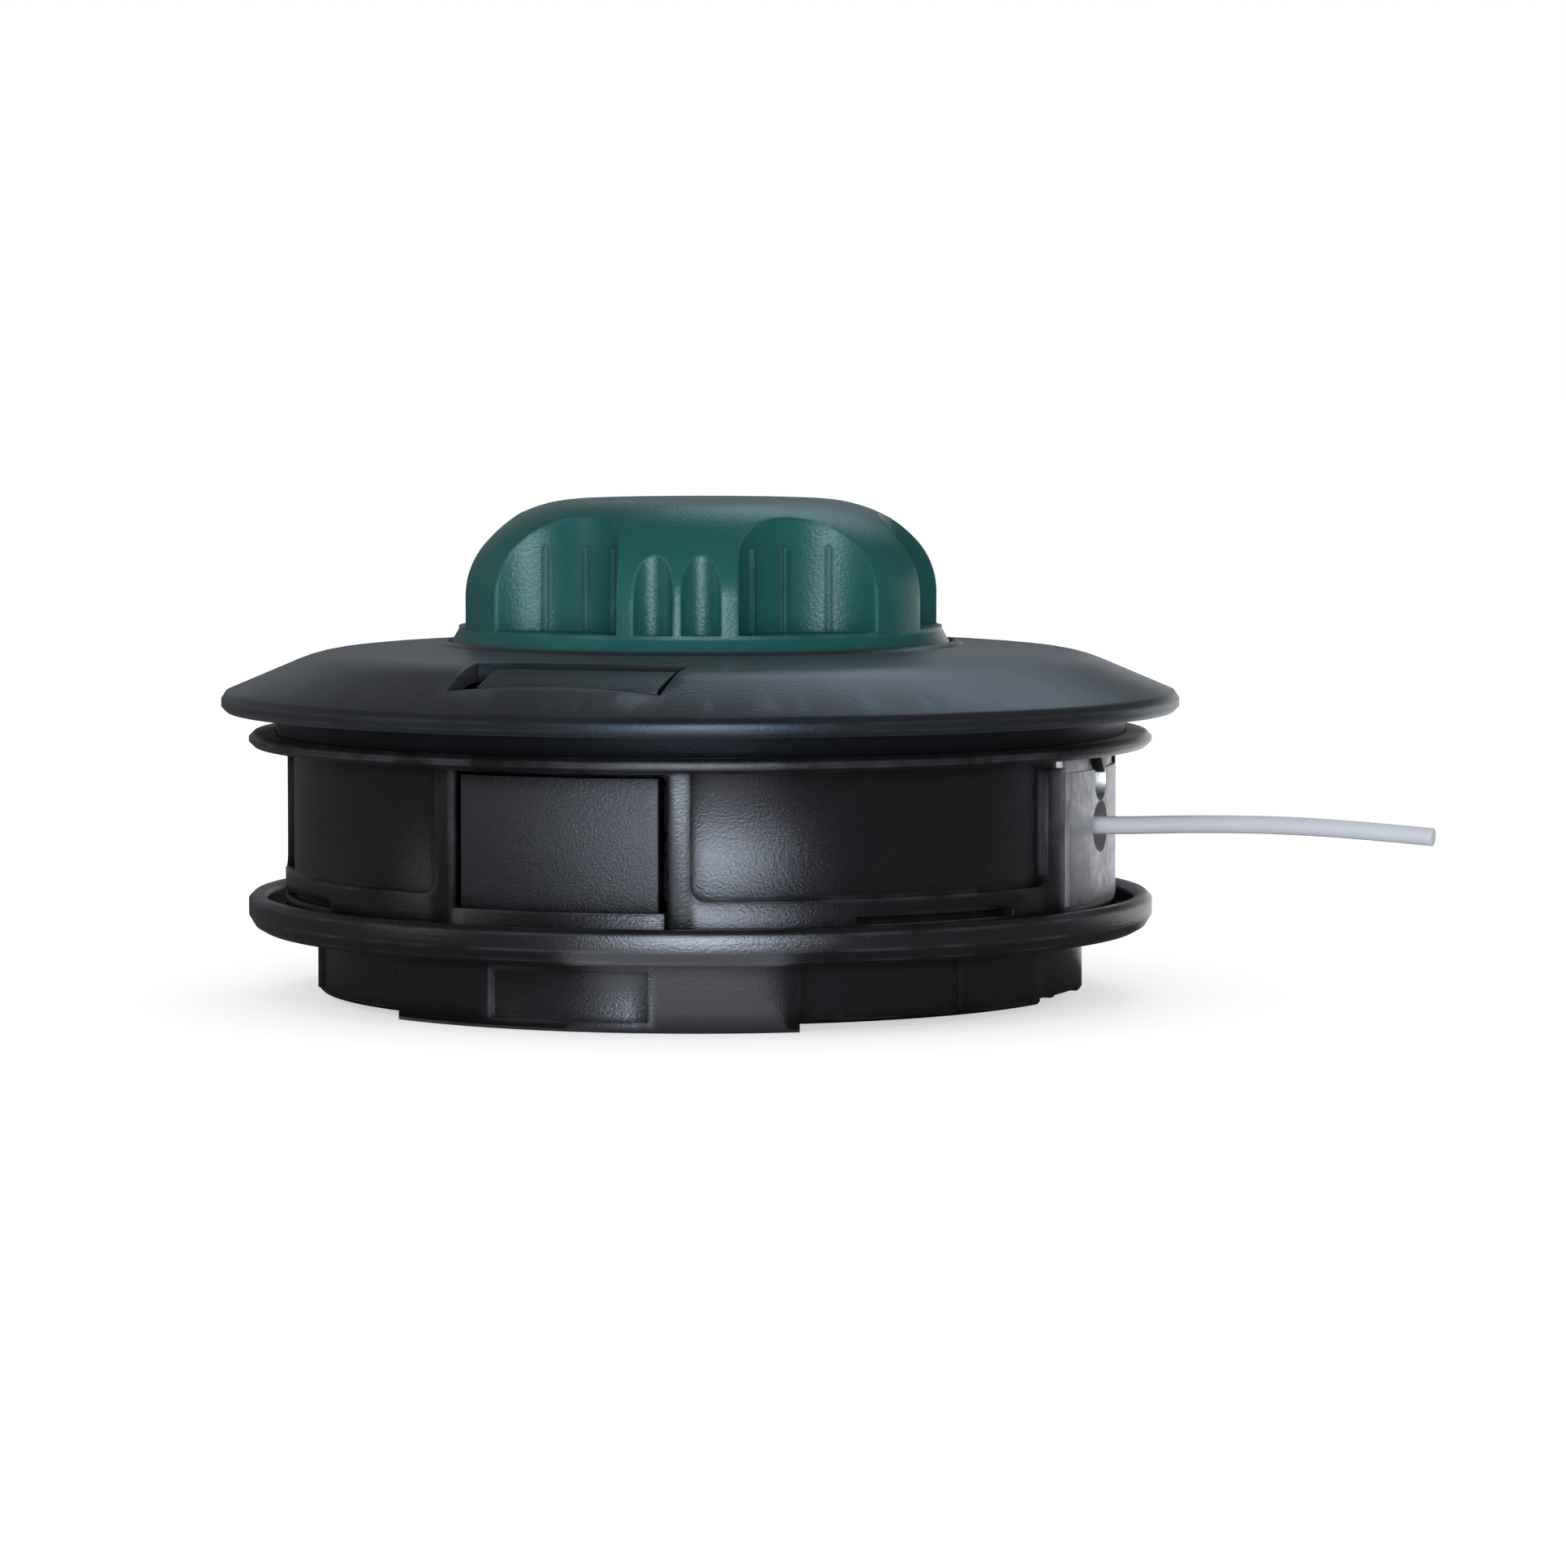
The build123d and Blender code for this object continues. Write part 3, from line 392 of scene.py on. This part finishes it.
# moulded nylon of the cover, drum, base, latches, knob and spool
def makeMoulded(name, look):
    material, tree, shader = newMaterial(name)
    link = tree.links.new
    texture = {"Fineness": look["fineness"], "Specks": look["specks"], "Streaks": look["streaks"]}
    grain = addNode(tree, "ShaderNodeGroup", texture, node_tree=mouldGrain)
    rub = {"Amount": look["wornAndHighlit"], "Radius": look["edge"]}
    edgeWearHighlight = addNode(tree, "ShaderNodeGroup", rub, node_tree=edgeWearAndHighlight)
    marks = addNode(tree, "ShaderNodeGroup", {"Amount": look["scratched"]}, node_tree=scuffs)
    creviceShadeNode = addNode(tree, "ShaderNodeGroup", {"Amount": look["creviceShadeStrength"]}, node_tree=paintedCreviceShade)
    shade = mixColours(tree, grain.outputs["Clouds"], look["dark"], look["light"])
    speckled = mixColours(tree, grain.outputs["Specks"], shade, look["speck"])
    # edges lighter in patches: partly wear, partly a painted highlight
    most = combine(tree, "MAXIMUM", edgeWearHighlight.outputs["WornAndHighlit"], marks.outputs["Scratches"])
    edged = mixColours(tree, most, speckled, look["edgeWearHighlight"])
    # painted shade: gaps and corners turn near black
    shaded = mixColours(tree, creviceShadeNode.outputs["Open"], creviceShadeColour, edged)
    link(shaded, shader.inputs["Base Color"])
    # painted shade also dims the reflection in gaps and corners
    level = addNode(tree, "ShaderNodeMath", {1: look["specular"]}, operation="MULTIPLY")
    link(creviceShadeNode.outputs["Open"], level.inputs[0])
    link(level.outputs[0], shader.inputs["Specular IOR Level"])
    spreadGloss(tree, shader, grain.outputs["Clouds"], look)
    bump = pitSurface(tree, shader, grain, look)
    link(edgeWearHighlight.outputs["Rounded"], bump.inputs["Normal"])
    shader.inputs["Specular Tint"].default_value = (*look["sheen"], 1)
    shader.inputs["Sheen Weight"].default_value = look["bloom"]
    shader.inputs["Sheen Roughness"].default_value = dustBloom["roughness"]
    shader.inputs["Sheen Tint"].default_value = (*dustBloom["tint"], 1)
    return material


# in each look, the edge colour and its share give edge wear with a painted highlight, and the crevice share
# sets how much painted shade darkens gaps and corners
coverNylon = {
    "dark": (0.010, 0.010, 0.0115), "light": (0.0145, 0.0145, 0.0165),
    "speck": (0.03, 0.033, 0.038), "edgeWearHighlight": (0.10, 0.11, 0.125),
    "gloss": (0.29, 0.37), "specular": 0.5, "sheen": (0.55, 0.76, 1.0), "bloom": 0.05,
    "fineness": 1800.0, "depth": 0.35, "specks": 0.3, "streaks": 0.0,
    "wornAndHighlit": 0.5, "edge": 0.0006, "scratched": 0.03, "creviceShadeStrength": 0.95,
}
drumNylon = {
    "dark": (0.0070, 0.0060, 0.0070), "light": (0.0092, 0.0083, 0.0095),
    "speck": (0.03, 0.032, 0.036), "edgeWearHighlight": (0.14, 0.145, 0.155),
    "gloss": (0.19, 0.26), "specular": 0.6, "sheen": (0.85, 0.89, 1.0), "bloom": 0.0,
    "fineness": 3000.0, "depth": 0.45, "specks": 0.25, "streaks": 0.2,
    "wornAndHighlit": 0.6, "edge": 0.0009, "scratched": 0.02, "creviceShadeStrength": 0.95,
}
baseNylon = {
    "dark": (0.0075, 0.0065, 0.0075), "light": (0.0098, 0.0089, 0.0101),
    "speck": (0.03, 0.032, 0.036), "edgeWearHighlight": (0.14, 0.145, 0.155),
    "gloss": (0.20, 0.28), "specular": 1.0, "sheen": (0.85, 0.89, 1.0), "bloom": 0.0,
    "fineness": 3000.0, "depth": 0.5, "specks": 0.25, "streaks": 0.45,
    "wornAndHighlit": 0.6, "edge": 0.0007, "scratched": 0.02, "creviceShadeStrength": 0.95,
}
latchNylon = {
    "dark": (0.012, 0.0115, 0.0125), "light": (0.018, 0.0178, 0.0195),
    "speck": (0.09, 0.095, 0.105), "edgeWearHighlight": (0.16, 0.165, 0.175),
    "gloss": (0.28, 0.36), "specular": 0.7, "sheen": (0.85, 0.89, 1.0), "bloom": 0.0,
    "fineness": 3400.0, "depth": 1.0, "specks": 0.6, "streaks": 0.0,
    "wornAndHighlit": 0.6, "edge": 0.0005, "scratched": 0.02, "creviceShadeStrength": 0.95,
}
knobNylon = {
    "dark": (0.0095, 0.078, 0.077), "light": (0.0145, 0.099, 0.098),
    "speck": (0.05, 0.17, 0.17), "edgeWearHighlight": (0.12, 0.27, 0.27),
    "gloss": (0.26, 0.33), "specular": 0.42, "sheen": (0.85, 0.97, 1.0), "bloom": 0.0,
    "fineness": 2200.0, "depth": 0.6, "specks": 0.4, "streaks": 0.0,
    "wornAndHighlit": 0.5, "edge": 0.0006, "scratched": 0.02, "creviceShadeStrength": 0.5,
}
spoolNylon = {
    "dark": (0.03, 0.03, 0.034), "light": (0.045, 0.045, 0.05),
    "speck": (0.08, 0.08, 0.085), "edgeWearHighlight": (0.1, 0.1, 0.1),
    "gloss": (0.4, 0.5), "specular": 0.4, "sheen": (0.9, 0.95, 1.0), "bloom": 0.0,
    "fineness": 900.0, "depth": 0.3, "specks": 0.2, "streaks": 0.0,
    "wornAndHighlit": 0.3, "edge": 0.0004, "scratched": 0.1, "creviceShadeStrength": 0.6,
}


# satin metal of the eyelets, insert, screw, washers and springs
def makeMetal(name, look):
    material, tree, shader = newMaterial(name)
    grain = addNode(tree, "ShaderNodeGroup", {"Fineness": look["fineness"]}, node_tree=mouldGrain)
    marks = addNode(tree, "ShaderNodeGroup", {"Amount": look["scratched"]}, node_tree=scuffs)
    shade = mixColours(tree, grain.outputs["Clouds"], look["dark"], look["light"])
    scored = mixColours(tree, marks.outputs["Scratches"], shade, look["score"])
    tree.links.new(scored, shader.inputs["Base Color"])
    spreadGloss(tree, shader, grain.outputs["Pits"], look)
    pitSurface(tree, shader, grain, look)
    shader.inputs["Metallic"].default_value = 1.0
    return material


eyeletMetal = {
    "dark": (0.60, 0.60, 0.62), "light": (0.74, 0.74, 0.76), "score": (0.85, 0.85, 0.87),
    "gloss": (0.42, 0.58), "fineness": 700.0, "scratched": 0.6, "depth": 0.3,
}
plainSteel = {
    "dark": (0.42, 0.43, 0.45), "light": (0.55, 0.55, 0.56), "score": (0.7, 0.7, 0.72),
    "gloss": (0.25, 0.4), "fineness": 600.0, "scratched": 0.4, "depth": 0.2,
}
springSteel = {
    "dark": (0.32, 0.32, 0.34), "light": (0.46, 0.46, 0.48), "score": (0.6, 0.6, 0.62),
    "gloss": (0.2, 0.34), "fineness": 800.0, "scratched": 0.3, "depth": 0.15,
}


# milky drawn line
def makeLineNylon(name, look):
    material, tree, shader = newMaterial(name)
    grain = addNode(tree, "ShaderNodeGroup", {"Fineness": look["fineness"]}, node_tree=mouldGrain)
    shade = mixColours(tree, grain.outputs["Clouds"], look["dark"], look["light"])
    tree.links.new(shade, shader.inputs["Base Color"])
    spreadGloss(tree, shader, grain.outputs["Pits"], look)
    pitSurface(tree, shader, grain, look)
    shader.inputs["Subsurface Weight"].default_value = look["milky"]
    shader.inputs["Subsurface Radius"].default_value = look["depthOfLight"]
    shader.inputs["Subsurface Scale"].default_value = 1.0
    return material


lineNylon = {
    "dark": (0.52, 0.525, 0.56), "light": (0.62, 0.625, 0.66),
    "gloss": (0.3, 0.42), "fineness": 500.0, "depth": 0.1,
    "milky": 0.4, "depthOfLight": (0.0012, 0.0012, 0.0013),
}

finishes = {
    "coverNylon": makeMoulded("coverNylon", coverNylon),
    "drumNylon": makeMoulded("drumNylon", drumNylon),
    "baseNylon": makeMoulded("baseNylon", baseNylon),
    "latchNylon": makeMoulded("latchNylon", latchNylon),
    "knobNylon": makeMoulded("knobNylon", knobNylon),
    "spoolNylon": makeMoulded("spoolNylon", spoolNylon),
    "eyeletMetal": makeMetal("eyeletMetal", eyeletMetal),
    "plainSteel": makeMetal("plainSteel", plainSteel),
    "springSteel": makeMetal("springSteel", springSteel),
    "lineNylon": makeLineNylon("lineNylon", lineNylon),
}
wears = {
    "cover": "coverNylon",
    "drum": "drumNylon",
    "base": "baseNylon",
    "latch_front": "latchNylon",
    "latch_back": "latchNylon",
    "bump_knob": "knobNylon",
    "spool": "spoolNylon",
    "winding_upper": "lineNylon",
    "winding_lower": "lineNylon",
    "line_tail": "lineNylon",
    "eyelet_right": "eyeletMetal",
    "eyelet_left": "eyeletMetal",
    "drive_insert": "plainSteel",
    "spring_washer": "plainSteel",
    "knob_screw": "plainSteel",
    "screw_washer": "plainSteel",
    "coil_spring": "springSteel",
    "latch_spring_front": "springSteel",
    "latch_spring_back": "springSteel",
}


def dress(thing, finish):
    thing.data.materials.clear()
    thing.data.materials.append(finishes[finish])


for node, finish in wears.items():
    dress(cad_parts[node], finish)
    if node in pieces:
        dress(pieces[node], finish)
dress(tail, "lineNylon")
print("finishes on", len(wears), "nodes")


# 1 on rays from the camera, off gloss or through clear things, else 0
def seenRays(tree):
    path = addNode(tree, "ShaderNodeLightPath")
    seen = combine(tree, "MAXIMUM", path.outputs["Is Camera Ray"], path.outputs["Is Glossy Ray"])
    return combine(tree, "MAXIMUM", seen, path.outputs["Is Transmission Ray"])


# pale floor that stays white and keeps a soft shadow
floorLook = {"size": 12.0, "colour": (0.8, 0.8, 0.8, 1), "glow": (1, 1, 1, 1), "lift": 0.56}


def layFloor(look):
    bpy.ops.object.select_all(action="DESELECT")
    bpy.ops.mesh.primitive_plane_add(size=look["size"], location=(0, 0, 0))
    floor = bpy.context.object
    floor.name = "floor"
    material = bpy.data.materials.new("floorPaper")
    material.use_nodes = True
    tree = material.node_tree
    tree.nodes.clear()
    link = tree.links.new
    paper = addNode(tree, "ShaderNodeBsdfDiffuse", {"Color": look["colour"]})
    glow = addNode(tree, "ShaderNodeEmission", {"Color": look["glow"]})
    lift = addNode(tree, "ShaderNodeMath", {1: look["lift"]}, operation="MULTIPLY")
    link(seenRays(tree), lift.inputs[0])
    link(lift.outputs[0], glow.inputs["Strength"])
    both = addNode(tree, "ShaderNodeAddShader")
    link(paper.outputs["BSDF"], both.inputs[0])
    link(glow.outputs["Emission"], both.inputs[1])
    output = addNode(tree, "ShaderNodeOutputMaterial")
    link(both.outputs["Shader"], output.inputs["Surface"])
    floor.data.materials.append(material)


layFloor(floorLook)

# white room for camera, glossy and clear rays, and a plain level for the rest
roomLook = {"plain": (0.57, 0.575, 0.58, 1), "white": (1, 1, 1, 1)}


def paintRoom(look):
    world = bpy.data.worlds.new("room")
    bpy.context.scene.world = world
    world.use_nodes = True
    tree = world.node_tree
    tree.nodes.clear()
    link = tree.links.new
    plain = addNode(tree, "ShaderNodeBackground", {"Color": look["plain"]})
    white = addNode(tree, "ShaderNodeBackground", {"Color": look["white"]})
    either = addNode(tree, "ShaderNodeMixShader")
    link(seenRays(tree), either.inputs[0])
    link(plain.outputs["Background"], either.inputs[1])
    link(white.outputs["Background"], either.inputs[2])
    output = addNode(tree, "ShaderNodeOutputWorld")
    link(either.outputs["Shader"], output.inputs["Surface"])


paintRoom(roomLook)


# places round the head, in degrees to the right of the camera
def roundHead(degrees, reach, height):
    turn = math.radians(shotCamera["turn"] + degrees)
    return Vector((math.sin(turn) * reach, -math.cos(turn) * reach, height))


# soft boxes: two low ones by the camera, three dimmer ones behind and a strip on the left
softBoxes = {
    "frontKey": {
        "turn": 3, "reach": 1.1, "height": 0.105,
        "size": (0.5, 0.2), "watts": 5.6, "colour": (0.85, 0.93, 1.0),
    },
    "lowFront": {
        "turn": -10, "reach": 0.45, "height": 0.08,
        "size": (0.1, 0.16), "watts": 0.3, "colour": (0.85, 0.93, 1.0),
    },
    "backRight": {
        "turn": 166, "reach": 0.9, "height": 0.82,
        "size": (0.55, 0.5), "watts": 1.35, "colour": (0.68, 0.85, 1.0),
    },
    "backLow": {
        "turn": 187, "reach": 1.2, "height": 0.35,
        "size": (0.8, 0.36), "watts": 0.22, "colour": (0.8, 0.9, 1.0),
    },
    "backLeft": {
        "turn": -128, "reach": 1.2, "height": 0.36,
        "size": (0.8, 0.5), "watts": 0.12, "colour": (1.0, 0.94, 0.92),
    },
    "leftStrip": {
        "turn": -75, "reach": 0.95, "height": 0.35,
        "size": (0.12, 0.6), "watts": 0.6, "colour": (1.0, 0.96, 0.93),
    },
}
lampAim = Vector((0, 0, 0.03))      # the middle of the head


def hangSoftBoxes(boxes):
    for name, box in boxes.items():
        place = roundHead(box["turn"], box["reach"], box["height"])
        bpy.ops.object.light_add(type="AREA", location=place)
        lamp = bpy.context.object
        lamp.name = name
        lamp.data.shape = "RECTANGLE"
        lamp.data.size, lamp.data.size_y = box["size"]
        lamp.data.energy = box["watts"]
        lamp.data.color = box["colour"]
        lamp.rotation_euler = (lampAim - place).to_track_quat("-Z", "Y").to_euler()


hangSoftBoxes(softBoxes)

# dark cards on the table and round it, which only reflections see, as on a photographer's bench
darkCards = {
    "inner": 0.04,
    "outer": 1.5,
    "above": 0.0004,
    "gapHeight": 0.3,       # the openings reach this high
    "height": 1.6,
    "steps": 90,
    "openings": ((-20, 12), (118, 172)),    # degrees to the right of the camera
    "colour": (0.12, 0.113, 0.112, 1),
    "roughness": 1.0,
}


def standCards(cards):
    bpy.ops.object.select_all(action="DESELECT")
    bpy.ops.mesh.primitive_circle_add(vertices=cards["steps"], radius=cards["inner"], location=(0, 0, 0))
    card = bpy.context.object
    card.name = "darkCards"
    bpy.ops.object.mode_set(mode="EDIT")
    bpy.ops.mesh.select_all(action="SELECT")
    bpy.ops.transform.translate(value=(0, 0, cards["above"]))
    bpy.ops.mesh.extrude_edges_move()
    wider = cards["outer"] / cards["inner"]
    bpy.ops.transform.resize(value=(wider, wider, 1), center_override=(0, 0, 0))
    for rise in (cards["gapHeight"], cards["height"] - cards["gapHeight"]):
        bpy.ops.mesh.extrude_edges_move(TRANSFORM_OT_translate={"value": (0, 0, rise)})
    bpy.ops.mesh.edge_face_add()
    bpy.ops.mesh.select_all(action="DESELECT")
    bpy.ops.object.mode_set(mode="OBJECT")
    for face in card.data.polygons:
        side = math.degrees(math.atan2(face.center.x, -face.center.y)) - shotCamera["turn"]
        side = (side + 180) % 360 - 180
        low = face.center.z < cards["gapHeight"]
        face.select = low and any(start < side < end for start, end in cards["openings"])
    bpy.ops.object.mode_set(mode="EDIT")
    bpy.ops.mesh.delete(type="FACE")
    bpy.ops.object.mode_set(mode="OBJECT")
    material = bpy.data.materials.new("blackCard")
    material.use_nodes = True
    shader = material.node_tree.nodes["Principled BSDF"]
    shader.inputs["Base Color"].default_value = cards["colour"]
    shader.inputs["Roughness"].default_value = cards["roughness"]
    card.data.materials.append(material)
    card.visible_camera = False
    card.visible_diffuse = False
    card.visible_shadow = False


standCards(darkCards)
bpy.context.scene.view_settings.view_transform = "Standard"
print("studio lit")
